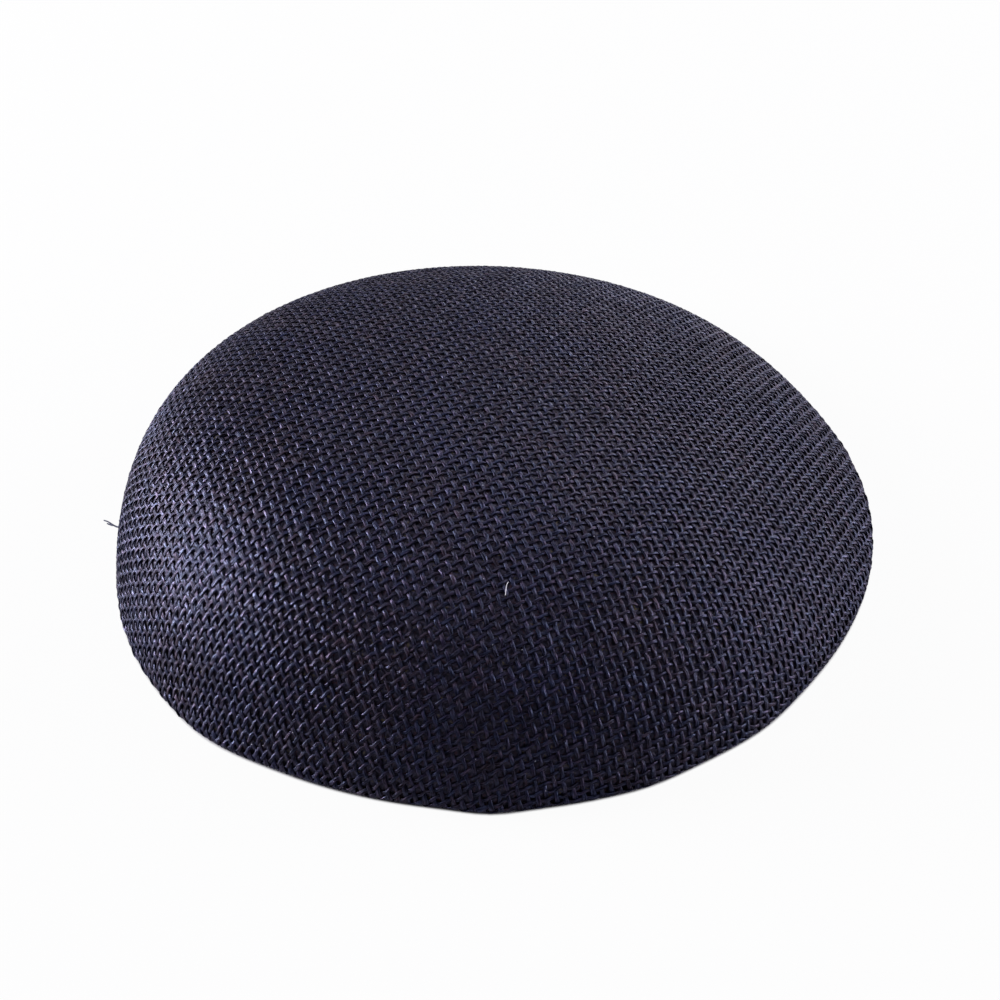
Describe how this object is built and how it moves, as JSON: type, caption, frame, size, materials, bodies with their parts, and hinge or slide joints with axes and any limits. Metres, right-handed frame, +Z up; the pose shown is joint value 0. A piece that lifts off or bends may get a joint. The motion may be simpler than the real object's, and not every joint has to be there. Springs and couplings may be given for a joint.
{
  "type": "fascinator hat base",
  "caption": "Shallow off-round blocked dome of plain-woven dark straw, open below with a turned-in edge; a small hat or fascinator base worn perched on the head.",
  "frame": {"origin": "middle of the bounding box at the height of the rim, on the surface that the hat rests on", "axes": "+X to the hat's shallow, more pointed side, which is to the right in the picture; +Y away from the camera; +Z up through the crown"},
  "size_m": [0.1598, 0.1616, 0.0341],
  "materials": {
    "navy_straw": "dark navy straw in a plain weave, dull sheen along the strands"
  },
  "bodies": {
    "root": {"straw_dome": "navy_straw"}
  },
  "joints": []
}
